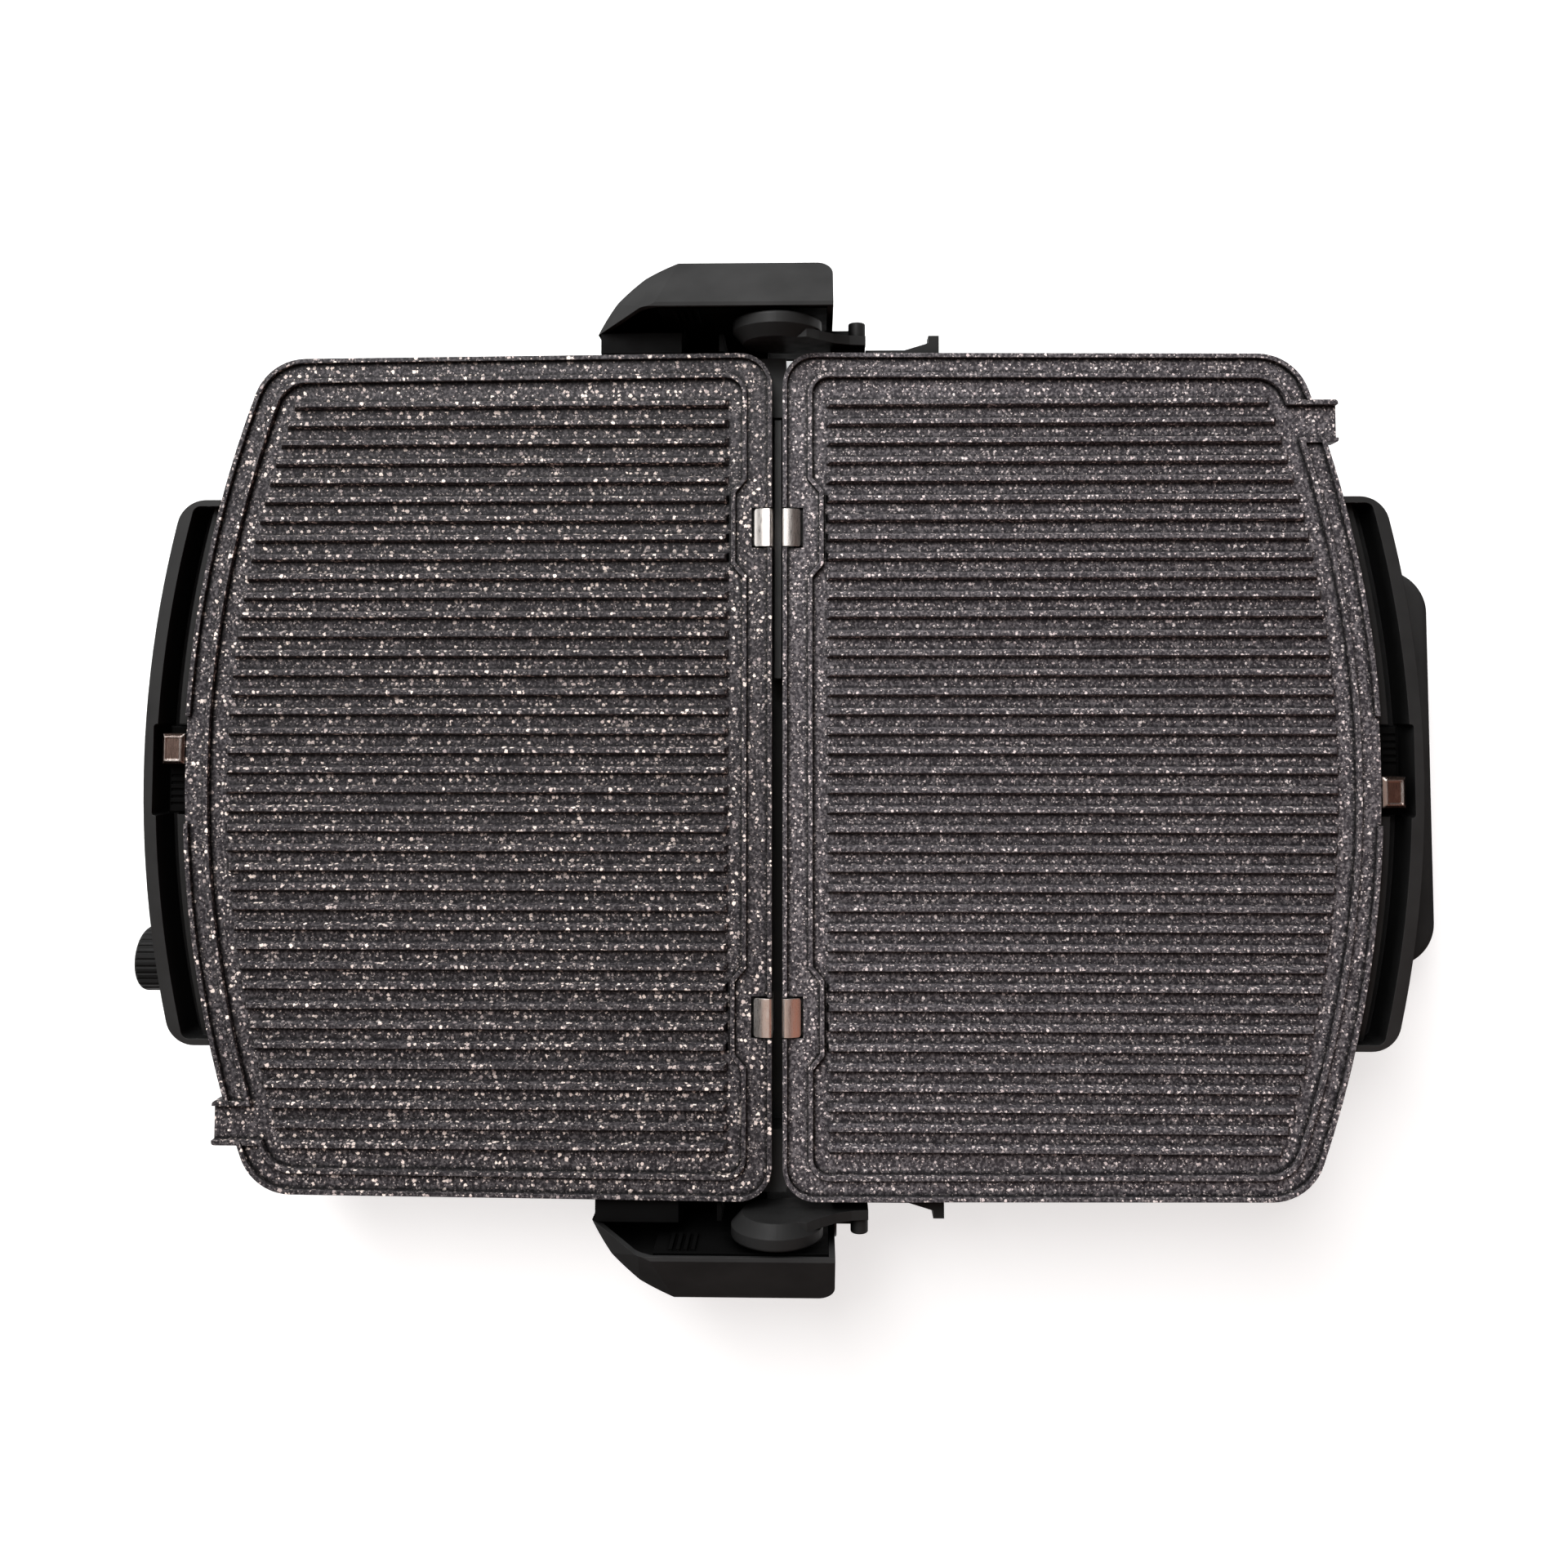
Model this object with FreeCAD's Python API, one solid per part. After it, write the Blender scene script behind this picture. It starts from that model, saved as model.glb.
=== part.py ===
import FreeCAD, Part
import math
import os

# Panini press lying open: base towards -Y, lid towards +Y, the hinge axis along X above the origin.
# Both halves are drawn in the lid's place, and the base's copies are turned half round about Z.
# Heights named *_DROP are measured down from the plane where the two plates meet.

V = FreeCAD.Vector
ALONG_X = V(1, 0, 0)
ALONG_Z = V(0, 0, 1)

# Driving dimensions, in millimetres.
PLANE_Z = 72.0            # height of the plates' meeting plane and of the hinge axis
HINGE_LIFT = 7.0          # travel of the floating hinge
PLATE_REAR = 2.0          # plate edge beside the hinge
PLATE_FRONT = 220.9       # middle of the bowed front edge
PLATE_HALF = 155.6        # half the plate's width at the hinge
PLATE_HALF_FRONT = 154.2
PLATE_BOW = 420.0         # radius of the bowed front edge
RIB_COUNT = 39
RIB_PITCH = 7.2
CLIP_X = 90.0             # rear clips, each side of the middle
CATCH_X = 7.8             # front catch, off centre
SPOUT_X = -129.0
HOUSING_HALF = 149.0
HOUSING_FRONT = 213.0
RIM_FRONT = 236.0         # outer edge of the front panel's rim
RIM_BOW = 410.0
RIM_HALF = 101.0
RIM_CORNER = 11.0
KNOB_X = 77.0
KNOB_Z = 28.0
THERMOSTAT_FRONT = -193.8
REACH = 253.3             # dial tip and handle edge, each side of the hinge
TOWER_IN = 168.6          # inner face of a hinge tower
TOWER_TOP = 17.0          # tower height above the hinge axis
TOWER_REAR = 20.8
GLAND_X = 177.4
GLAND_Z = 24.0

# Plate section, as drops below the meeting plane.
RIB_DROP = 0.4
BEAD_DROP = 0.7
LIP_DROP = 0.4
FLANGE_DROP = 2.4
FLOOR_DROP = 3.5
FLANGE_UNDER = 5.4
BASIN_UNDER = 6.6
BOSS_UNDER = 6.85
LIP_WIDTH = 1.6
BEAD_WIDTH = 1.6
BEAD_INSET = 7.4
KNUCKLE_Y = 5.6
KNUCKLE_DROP = 4.4
KNUCKLE_RADIUS = 2.5

# Housing.
WALL = 2.5
DECK_DROP = 7.0
BASE_LOW = 8.0
COVER_THICK = 2.0
LID_LOW = 14.0
DECK_WIDTH = 14.0
PAN_GAP = 15.4
PAN_FLOOR = 50.0
SHELF_TOP = 43.0          # shelf below the slit between the plates, raised at its ends
SHELF_END_TOP = 57.0
SHELF_HALF = 157.0
RIB_TOP = 62.0
RIM_DROP = 1.2
RIM_WIDTH = 4.6
STEP_DROP = 7.0
CHANNEL_DROP = 16.0
CHANNEL_WIDTH = 5.4
CHANNEL_END = 2.4
RECESS_HALF = 17.0
RECESS_FRONT = 232.6
PAD_DROP = 8.0             # top of the latch's thumb pad
ELEMENT_RADIUS = 3.25
ELEMENT_DROP = 10.4
SCREW_RADIUS = 1.5
HEAD_SINK = 1.8
SCREW_SPOTS = [(-138.7, 25), (138.7, 25), (-138.2, 165), (138.2, 165), (-45, 202), (45, 202)]


def box(x0, x1, y0, y1, z0, z1):
    return Part.makeBox(x1 - x0, y1 - y0, z1 - z0, V(x0, y0, z0))


def rod(radius, start, end):
    along = end.sub(start)
    return Part.makeCylinder(radius, along.Length, start, along)


def prism_x(points, x0, x1):
    """Solid from a closed (y, z) outline, drawn from x0 to x1."""
    corners = [V(x0, y, z) for y, z in points]
    return Part.Face(Part.makePolygon(corners + corners[:1])).extrude(V(x1 - x0, 0, 0))


def prism_y(points, y0, y1):
    """Solid from a closed (x, z) outline, drawn from y0 to y1."""
    corners = [V(x, y0, z) for x, z in points]
    return Part.Face(Part.makePolygon(corners + corners[:1])).extrude(V(0, y1 - y0, 0))


def prism_z(points, z0, z1):
    """Solid from a closed (x, y) outline, drawn from z0 to z1."""
    corners = [V(x, y, z0) for x, y in points]
    return Part.Face(Part.makePolygon(corners + corners[:1])).extrude(V(0, 0, z1 - z0))


def slab(face, low, high):
    lifted = face.copy()
    lifted.translate(V(0, 0, low))
    return lifted.extrude(V(0, 0, high - low))


def grown(face, distance):
    return Part.Face(face.OuterWire.makeOffset2D(distance))


def fuse(shapes):
    return shapes[0].multiFuse(shapes[1:]).removeSplitter()


def rounded(solid, radius, keep):
    """Fillet the edges whose middle point passes the keep test."""
    edges = [edge for edge in solid.Edges if keep(edge.CenterOfMass)]
    return solid.makeFillet(radius, edges)


def is_upright(edge):
    return abs(edge.tangentAt(edge.FirstParameter).z) > 0.99


def to_base(shape):
    turned = shape.copy()
    turned.rotate(V(0, 0, 0), ALONG_Z, 180)
    return turned


def mirrored(shape):
    return shape.mirror(V(0, 0, 0), ALONG_X)


def bow_y(front, radius, x):
    """Distance from the hinge of a bowed edge at a given x."""
    return front - radius + math.sqrt(radius ** 2 - x ** 2)


def bowed_face(rear_points, front, half, bow, rear_round, front_round):
    """Face with a given rear edge, from -X to +X, straight sides and a bowed front, corners rounded."""
    corner = bow_y(front, bow, half)
    points = [V(x, y, 0) for x, y in rear_points]
    edges = [Part.makeLine(a, b) for a, b in zip(points, points[1:])]
    right = V(half, corner, 0)
    left = V(-half, corner, 0)
    edges.append(Part.makeLine(points[-1], right))
    edges.append(Part.Arc(right, V(0, front, 0), left).toShape())
    edges.append(Part.makeLine(left, points[0]))
    solid = Part.Face(Part.Wire(edges)).extrude(ALONG_Z)
    reach = abs(rear_points[0][0]) - 1
    rear = [e for e in solid.Edges
            if is_upright(e) and abs(e.CenterOfMass.x) > reach and e.CenterOfMass.y < corner / 2]
    solid = solid.makeFillet(rear_round, rear)
    tips = [e for e in solid.Edges if is_upright(e) and abs(e.CenterOfMass.y - corner) < 0.5]
    solid = solid.makeFillet(front_round, tips)
    return [face for face in solid.Faces if abs(face.CenterOfMass.z) < 0.01][0]


def plate_face():
    rear = [(-PLATE_HALF, PLATE_REAR), (PLATE_HALF, PLATE_REAR)]
    return bowed_face(rear, PLATE_FRONT, PLATE_HALF_FRONT, PLATE_BOW, 12, 20)


def basin_face():
    """Outer line of the juice bead, which steps inward round each rear clip."""
    half = PLATE_HALF - BEAD_INSET
    rear_y = 11.4
    jog_y = 15.6
    jog = [(-18, rear_y), (-13, jog_y), (13, jog_y), (18, rear_y)]
    rear = [(-half, rear_y)]
    for clip in (-CLIP_X, CLIP_X):
        rear += [(clip + dx, y) for dx, y in jog]
    rear.append((half, rear_y))
    front_half = PLATE_HALF_FRONT - BEAD_INSET
    return bowed_face(rear, PLATE_FRONT - BEAD_INSET, front_half, PLATE_BOW - BEAD_INSET, 8, 13)


def rib(x):
    """One grill rib with sloped flanks and ends."""
    foot = 1.75
    crest = 0.85
    end_slope = 1.6
    y0 = 18.0
    y1 = bow_y(PLATE_FRONT, PLATE_BOW, x) - 15
    low = PLANE_Z - FLOOR_DROP - 0.3
    high = PLANE_Z - RIB_DROP
    bottom = Part.makePolygon([V(x - foot, y0, low), V(x + foot, y0, low), V(x + foot, y1, low),
                               V(x - foot, y1, low), V(x - foot, y0, low)])
    y2 = y0 + end_slope
    y3 = y1 - end_slope
    top = Part.makePolygon([V(x - crest, y2, high), V(x + crest, y2, high), V(x + crest, y3, high),
                            V(x - crest, y3, high), V(x - crest, y2, high)])
    return Part.makeLoft([bottom, top], True, True)


def cooking_plate():
    outline = plate_face()
    basin = basin_face()
    flange_top = PLANE_Z - FLANGE_DROP
    plate = slab(outline, PLANE_Z - FLANGE_UNDER, flange_top)
    lip = slab(outline, flange_top, PLANE_Z - LIP_DROP)
    lip = lip.cut(slab(grown(outline, -LIP_WIDTH), flange_top, PLANE_Z))
    lip = lip.cut(box(-20, 20, PLATE_FRONT - 6, PLATE_FRONT + 2, flange_top, PLANE_Z))
    bowl = slab(basin, PLANE_Z - BASIN_UNDER, PLANE_Z - BEAD_DROP)
    spout = box(SPOUT_X - 8, SPOUT_X + 8, 188, 207.5, PLANE_Z - BASIN_UNDER, PLANE_Z - BEAD_DROP)
    spout = rounded(spout, 1.2, lambda c: abs(c.x - SPOUT_X) > 7.9 and c.y > 207)
    bosses = [rod(4, V(x, y, PLANE_Z - BOSS_UNDER), V(x, y, PLANE_Z - FLANGE_UNDER))
              for x in (-142, 142) for y in (40, 175)]
    plate = fuse([plate, lip, bowl, spout] + bosses)
    plate = plate.cut(slab(grown(basin, -BEAD_WIDTH), PLANE_Z - FLOOR_DROP, PLANE_Z))
    plate = plate.cut(box(SPOUT_X - 6.2, SPOUT_X + 6.2, 186, 210, PLANE_Z - FLOOR_DROP, PLANE_Z))
    plate = fuse([plate] + [rib((i - (RIB_COUNT - 1) / 2) * RIB_PITCH) for i in range(RIB_COUNT)])
    for clip in (-CLIP_X, CLIP_X):
        notch = box(clip - 7.5, clip + 7.5, 0, 9.6, PLANE_Z - 10, PLANE_Z)
        axle_z = PLANE_Z - KNUCKLE_DROP
        knuckle = rod(KNUCKLE_RADIUS, V(clip - 6.8, KNUCKLE_Y, axle_z), V(clip + 6.8, KNUCKLE_Y, axle_z))
        neck = box(clip - 6.8, clip + 6.8, KNUCKLE_Y, 10.5, axle_z - 1.2, axle_z + 0.4)
        plate = plate.cut(notch).fuse(knuckle.fuse(neck))
    return plate.removeSplitter()


def rear_clips():
    """Two bent steel clips whose curved straps hook over the plate's knuckles."""
    thick = 0.8
    back = 1.75
    crest_y = 3.0
    crest_drop = 0.3
    bend = 9.5
    slope = math.radians(36)

    def on_strap(depth, angle):
        radius = bend - depth
        return V(0, crest_y + radius * math.sin(angle),
                 PLANE_Z - crest_drop - bend + radius * math.cos(angle))

    def at(y, drop):
        return V(0, y, PLANE_Z - drop)

    foot = 5.8
    tail = [at(back, 1.5), at(back, 14), at(foot - thick, 14), at(foot - thick, 26), at(foot, 26),
            at(foot, 14 - thick), at(back + thick, 14 - thick), at(back + thick, 1.6)]
    edges = [Part.makeLine(a, b) for a, b in zip(tail, tail[1:])]
    edges.append(Part.Arc(tail[-1], at(2.68, 1.24), on_strap(thick, 0)).toShape())
    edges.append(Part.Arc(on_strap(thick, 0), on_strap(thick, slope / 2), on_strap(thick, slope)).toShape())
    edges.append(Part.makeLine(on_strap(thick, slope), on_strap(0, slope)))
    edges.append(Part.Arc(on_strap(0, slope), on_strap(0, slope / 2), on_strap(0, 0)).toShape())
    edges.append(Part.Arc(on_strap(0, 0), at(2.1, 0.68), tail[0]).toShape())
    section = Part.Face(Part.Wire(edges))
    clips = []
    for clip in (-CLIP_X, CLIP_X):
        strip = section.extrude(V(14, 0, 0))
        strip.translate(V(clip - 7, 0, 0))
        strip = rounded(strip, 1.0, lambda c, x=clip: c.y > 8.2 and abs(abs(c.x - x) - 7) < 0.01)
        clips.append(strip)
    return Part.makeCompound(clips)


def housing_face(inset):
    rear = [(-HOUSING_HALF + inset, 6 + inset), (HOUSING_HALF - inset, 6 + inset)]
    half = HOUSING_HALF - 1 - inset
    front_round = max(18 - inset / 2, 4)
    return bowed_face(rear, HOUSING_FRONT - inset, half, PLATE_BOW - 9 - inset,
                      max(10 - inset, 2), front_round)


def drafted(levels):
    """Loft of the housing outline through (height, inset) levels."""
    wires = []
    for height, inset in levels:
        wire = housing_face(inset).OuterWire
        wire.translate(V(0, 0, height))
        wires.append(wire)
    return Part.makeLoft(wires, True, True)


def housing_outer(low, low_inset, bend):
    return drafted([(low, low_inset), (low + bend, 2), (PLANE_Z - DECK_DROP, 0)])


def housing_shell(low, low_inset, bend):
    """Tub wall with an inward deck round the heater well and screw posts under the deck."""
    top = PLANE_Z - DECK_DROP
    outer = housing_outer(low, low_inset, bend)
    cavity = drafted([(low, low_inset + WALL), (low + bend, 2 + WALL), (top - WALL, WALL)])
    well = slab(grown(housing_face(0), -DECK_WIDTH), top - 2 * WALL, top + 1)
    shell = outer.cut(cavity).cut(well)
    posts = [rod(3.5, V(x, y, low), V(x, y, top - 1)).common(outer) for x, y in SCREW_SPOTS]
    return fuse([shell] + posts)


def base_shell():
    """Base housing with screw holes, a dial hole and a shelf and rib below the slit between the plates."""
    shell = housing_shell(BASE_LOW, 7, 10)
    shelf = box(-SHELF_HALF, SHELF_HALF, -3, 8.4, SHELF_TOP - 2, SHELF_TOP)
    rib_below = box(34, 132, -1.3, 1.3, SHELF_TOP - 1, RIB_TOP)
    left_end = box(-SHELF_HALF, -134, -3, 8.4, SHELF_TOP - 2, SHELF_END_TOP)
    right_end = box(134, SHELF_HALF, -3, 8.4, SHELF_TOP - 2, SHELF_END_TOP)
    shell = fuse([shell, shelf, rib_below, left_end, right_end])
    for x, y in SCREW_SPOTS:
        shell = shell.cut(rod(SCREW_RADIUS + 0.1, V(x, y, 0), V(x, y, BASE_LOW + 12)))
    return to_base(shell).cut(rod(4, V(KNOB_X, -240, KNOB_Z), V(KNOB_X, -196, KNOB_Z)))


def lid_shell():
    """Lid housing, drilled and counterbored from the plate side."""
    shell = housing_shell(LID_LOW, 8, 12)
    deck = PLANE_Z - DECK_DROP
    for x, y in SCREW_SPOTS:
        shell = shell.cut(rod(SCREW_RADIUS + 0.1, V(x, y, deck - 13), V(x, y, deck + 1)))
        shell = shell.cut(rod(3.3, V(x, y, deck - HEAD_SINK), V(x, y, deck + 1)))
    return shell


def panel_face(front, inner, half=RIM_HALF, corner=0):
    """Plan between a bowed outer edge and the housing wall, outer corners rounded if asked."""
    bow = RIM_BOW - RIM_FRONT + front
    side_out = bow_y(front, bow, half)
    side_in = bow_y(inner, PLATE_BOW - 9, half)
    edges = [Part.Arc(V(-half, side_in, 0), V(0, inner, 0), V(half, side_in, 0)).toShape(),
             Part.makeLine(V(half, side_in, 0), V(half, side_out, 0)),
             Part.Arc(V(half, side_out, 0), V(0, front, 0), V(-half, side_out, 0)).toShape(),
             Part.makeLine(V(-half, side_out, 0), V(-half, side_in, 0))]
    face = Part.Face(Part.Wire(edges))
    if not corner:
        return face
    solid = face.extrude(ALONG_Z)
    tips = [e for e in solid.Edges if is_upright(e) and abs(e.CenterOfMass.y - side_out) < 0.1]
    solid = solid.makeFillet(corner, tips)
    return [f for f in solid.Faces if abs(f.CenterOfMass.z) < 0.01][0]


def panel_loft(levels, inner, half, corner):
    """Loft of the front panel's plan through (height, outer edge) levels."""
    wires = []
    for height, front in levels:
        wire = panel_face(front, inner, half, corner).OuterWire
        wire.translate(V(0, 0, height))
        wires.append(wire)
    return Part.makeLoft(wires, True, True)


def front_panel(low, low_front, bend):
    """Front panel: outer wall, raised rim, stepped channel beside the plate and latch recess."""
    inner = HOUSING_FRONT + 0.3
    top = PLANE_Z - RIM_DROP
    floor = PLANE_Z - CHANNEL_DROP
    waist = RIM_FRONT - 1.5
    panel = panel_loft([(low, low_front), (low + bend, waist), (top, RIM_FRONT)], inner, RIM_HALF, RIM_CORNER)
    rim_inner = RIM_FRONT - RIM_WIDTH
    step_edge = rim_inner - CHANNEL_WIDTH
    clear = RIM_HALF - CHANNEL_END
    corner = RIM_CORNER - CHANNEL_END
    step = PLANE_Z - STEP_DROP
    panel = panel.cut(slab(panel_face(PLATE_FRONT + 1.2, inner - 20), step, PLANE_Z))
    panel = panel.cut(slab(panel_face(rim_inner, inner - 20, clear, corner), step, PLANE_Z))
    panel = panel.cut(slab(panel_face(rim_inner, step_edge, clear, 3), floor, PLANE_Z))
    recess = box(-RECESS_HALF, RECESS_HALF, HOUSING_FRONT, RECESS_FRONT, floor, PLANE_Z)
    ends = [e for e in recess.Edges if is_upright(e) and e.CenterOfMass.y > RECESS_FRONT - 0.1]
    panel = panel.cut(recess.makeFillet(1.2, ends))
    levels = [(low + WALL, low_front - WALL), (low + bend, waist - WALL), (floor - WALL, waist + 0.7 - WALL)]
    panel = panel.cut(panel_loft(levels, inner - 5, RIM_HALF - WALL, RIM_CORNER - WALL))
    slot = box(CATCH_X - 4.4, CATCH_X + 4.4, 222.4, 231.6, floor - WALL - 1, floor + 1)
    return panel.cut(slot)


def latch_button():
    """Thumb pad that fills the recess, with a shank down to its spring."""
    low = PLANE_Z - CHANNEL_DROP + 0.2
    high = PLANE_Z - PAD_DROP
    pad = box(-16.4, 16.4, 222.6, 229.4, low, high)
    pad = rounded(pad, 0.8, lambda c: c.z > high - 0.1)
    for i in range(5):
        x = -13.5 + i * 2.6
        pad = pad.cut(box(x, x + 1.1, 223.8, 228.6, high - 0.7, high + 1))
    shank = box(CATCH_X - 3.8, CATCH_X + 3.8, 223.2, 227.4, PLANE_Z - 25, low + 1)
    pad = fuse([pad, shank])
    return pad.cut(box(CATCH_X - 3.1, CATCH_X + 3.1, 224.9, 226.7, high - 4.1, high + 1))


def latch_catch():
    """Square steel catch with a raised bevelled border and a tang set into the pad."""
    low = PLANE_Z - PAD_DROP
    high = PLANE_Z - 1.0
    head = box(CATCH_X - 5.6, CATCH_X + 5.6, 221.1, 229.4, low, high)
    head = head.makeChamfer(1.1, [e for e in head.Edges if e.CenterOfMass.z > high - 0.1])
    head = head.cut(box(CATCH_X - 4.1, CATCH_X + 4.1, 222.7, 227.9, high - 0.7, high + 1))
    tang = box(CATCH_X - 3.0, CATCH_X + 3.0, 225.0, 226.6, low - 4.0, low)
    return head.fuse(tang).removeSplitter()


def latch_spring():
    """Folded leaf spring between the button's shank and the panel wall."""
    leaf = 0.35
    rise = 1.32
    start = 227.45
    left, right = CATCH_X - 3.4, CATCH_X + 3.4
    legs = []
    for count in range(3):
        near = start + rise * count
        far = near + rise
        legs.append(prism_z([(left, near), (right, far), (right, far + leaf), (left, near + leaf)],
                            PLANE_Z - 24.5, PLANE_Z - 20))
        left, right = right, left
    return fuse(legs)


def reflector_pan(low):
    """Shallow folded tray under the heater, pierced for the heater's two ends."""
    thick = 0.8
    outline = grown(housing_face(0), -PAN_GAP)
    tray = slab(outline, low, PLANE_Z - DECK_DROP - 1)
    tray = tray.cut(slab(grown(outline, -thick), low + thick, PLANE_Z))
    for x in (-16, 16):
        tray = tray.cut(rod(ELEMENT_RADIUS + 0.6, V(x, 36, low - 1), V(x, 36, low + 2)))
    return tray


def heating_element(low):
    """Tubular loop under the plate, with both ends turned down beside the hinge."""
    z = PLANE_Z - ELEMENT_DROP
    corner = 22.0
    bend = 9.0
    half = 112.0
    far = 178.0
    slant = math.sqrt(0.5)

    def quarter(centre, radius, towards, then):
        a = centre + towards * radius
        c = centre + then * radius
        b = centre + (towards + then) * (radius * slant)
        return Part.Arc(a, b, c).toShape()

    left = V(-1, 0, 0)
    right = V(1, 0, 0)
    near = V(0, -1, 0)
    away = V(0, 1, 0)
    up = V(0, 0, 1)
    end_left = V(-16, 36, low - 12)
    turn_left = V(-16, 36, z - bend)
    edges = [Part.makeLine(end_left, turn_left),
             quarter(V(-16 - bend, 36, z - bend), bend, right, up),
             Part.makeLine(V(-16 - bend, 36, z), V(-half + corner, 36, z)),
             quarter(V(-half + corner, 36 + corner, z), corner, near, left),
             Part.makeLine(V(-half, 36 + corner, z), V(-half, far - corner, z)),
             quarter(V(-half + corner, far - corner, z), corner, left, away),
             Part.makeLine(V(-half + corner, far, z), V(half - corner, far, z)),
             quarter(V(half - corner, far - corner, z), corner, away, right),
             Part.makeLine(V(half, far - corner, z), V(half, 36 + corner, z)),
             quarter(V(half - corner, 36 + corner, z), corner, right, near),
             Part.makeLine(V(half - corner, 36, z), V(16 + bend, 36, z)),
             quarter(V(16 + bend, 36, z - bend), bend, up, left),
             Part.makeLine(V(16, 36, z - bend), V(16, 36, low - 12))]
    path = Part.Wire(edges)
    section = Part.Wire(Part.makeCircle(ELEMENT_RADIUS, end_left, ALONG_Z))
    tube = path.makePipeShell([section], True, False)
    tips = [box(x - 3.1, x + 3.1, 35.6, 36.4, low - 19, low - 12) for x in (-16, 16)]
    return fuse([tube] + tips)


def thermal_cutout(low):
    """Disc thermostat clipped under the reflector."""
    centre = V(-60, 60, low)
    drop = V(0, 0, -1)
    disc = Part.makeCylinder(9, 6, centre - V(0, 0, 0.1), drop)
    neck = Part.makeCylinder(6.5, 5, centre - V(0, 0, 6.1), drop)
    tabs = [box(-60 + s * 4 - 1.6, -60 + s * 4 + 1.6, 59.6, 60.4, low - 19, low - 11) for s in (-1, 1)]
    return fuse([disc, neck] + tabs)


def screw(head, drive_up, length):
    """Pan-head screw with a cross recess. The head sits at the given point."""
    way = 1 if drive_up else -1
    axis = V(0, 0, way)
    cap = Part.makeCylinder(2.9, 1.6, head, axis)
    cap = rounded(cap, 0.8, lambda c: abs(c.z - head.z - way * 1.6) < 0.01)
    shank = Part.makeCylinder(SCREW_RADIUS, length, head, axis * -1)
    z0, z1 = sorted((head.z + way * 0.7, head.z + way * 2))
    cross = box(head.x - 1.5, head.x + 1.5, head.y - 0.3, head.y + 0.3, z0, z1)
    cross = cross.fuse(box(head.x - 0.3, head.x + 0.3, head.y - 1.5, head.y + 1.5, z0, z1))
    return cap.fuse(shank).cut(cross)


def base_cover():
    """Bottom cover with vents, screw holes and posts that carry the reflector."""
    cover = slab(housing_face(7), BASE_LOW - COVER_THICK, BASE_LOW)
    slots = []
    for side in (-1, 1):
        for i in range(9):
            y = 70 + i * 9
            slots.append(box(side * 55 - 20, side * 55 + 20, y, y + 3.2, 0, 20))
    posts = [rod(4, V(x, y, BASE_LOW - 1), V(x, y, PAN_FLOOR - 0.1)) for x in (-95, 95) for y in (50, 165)]
    cover = fuse([cover] + posts)
    for slot in slots:
        cover = cover.cut(slot)
    for x, y in SCREW_SPOTS:
        cover = cover.cut(rod(SCREW_RADIUS + 0.2, V(x, y, 0), V(x, y, 20)))
        cover = cover.cut(rod(3.3, V(x, y, 0), V(x, y, BASE_LOW - COVER_THICK + 0.6)))
    return cover


def base_feet():
    feet = []
    for x in (-112, 112):
        for y in (34, 180):
            foot = Part.makeCone(8, 9.5, BASE_LOW - COVER_THICK, V(x, y, 0))
            foot = rounded(foot, 1.2, lambda c: c.z < 0.1)
            feet.append(foot.cut(rod(3, V(x, y, -1), V(x, y, 2.5))))
    return Part.makeCompound(feet)


def lid_cover():
    """Crowned outer cover of the lid, lowest while the lid lies open."""
    crown = [(5, 34), (7.5, 18), (LID_LOW - 0.1, 8)]
    inside = [(5 + WALL, 36), (7.5 + WALL, 20), (LID_LOW, 8 + WALL)]
    return drafted(crown).cut(drafted(inside))


def handle_brackets():
    """Two arms from the lid's front wall, whose ends rest on the table while the lid lies open."""
    wall = housing_outer(LID_LOW, 8, 12)
    arms = []
    for side in (-1, 1):
        outer = 77.0
        inner = 63.0
        y0 = bow_y(HOUSING_FRONT, PLATE_BOW - 9, outer)
        arm = box(inner, outer, y0 - 6, 231.8, 0, 38)
        arm = arm.cut(prism_x([(y0 - 8, -1), (y0 + 8, -1), (y0 - 8, 22)], inner - 1, outer + 1))
        arm = rounded(arm, 3, lambda c: abs(c.x - (inner + outer) / 2) < 1 and c.y > 222 and c.z < 1)
        arm = arm.cut(wall)
        arms.append(arm if side > 0 else mirrored(arm))
    return arms


def handle_grip():
    """Bow-shaped grip across the two arms."""
    grip = box(-77, 77, 232, REACH, 10, 39)
    upright = [e for e in grip.Edges if is_upright(e) and e.CenterOfMass.y > 234]
    grip = grip.makeFillet(17, upright)
    return rounded(grip, 4, lambda c: c.z < 10.1 or c.z > 38.9)


def hinge_arm():
    """Right-hand arm: hub on the hinge pin, lever back to the lid and a mounting plate."""
    z = PLANE_Z
    hub = Part.makeCone(12.8, 16.6, 4.2, V(158.5, 0, z), V(1, 0, 0))
    hub = hub.fuse(rod(16.6, V(162.7, 0, z), V(167.2, 0, z))).removeSplitter()
    hub = rounded(hub, 1.2, lambda c: c.x > 167)
    paddle = [(0, z + 9), (11, z + 11.2), (15.5, z + 6.6), (21, z + 2), (27, z - 0.6), (33, z - 1.5),
              (33, z - 13), (12, z - 14), (0, z - 13)]
    lever = prism_x(paddle, 158.5, 162)
    ledge = box(162, 165.4, 10, 27, z - 13, z - 7)
    tip = rod(3.2, V(162, 29.8, z - 5.5), V(167.6, 29.8, z - 5.5))
    tip = rounded(tip, 0.6, lambda c: c.x > 167.5)
    flange = box(149.3, 158.5, 20, 33, z - 18, z - 8)
    plate = box(149.3, 151.3, 18, 54, z - 34, z - 8)
    arm = fuse([hub, lever, ledge, tip, flange, plate])
    return arm.cut(rod(3.55, V(160.5, 0, z), V(170, 0, z)))


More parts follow.
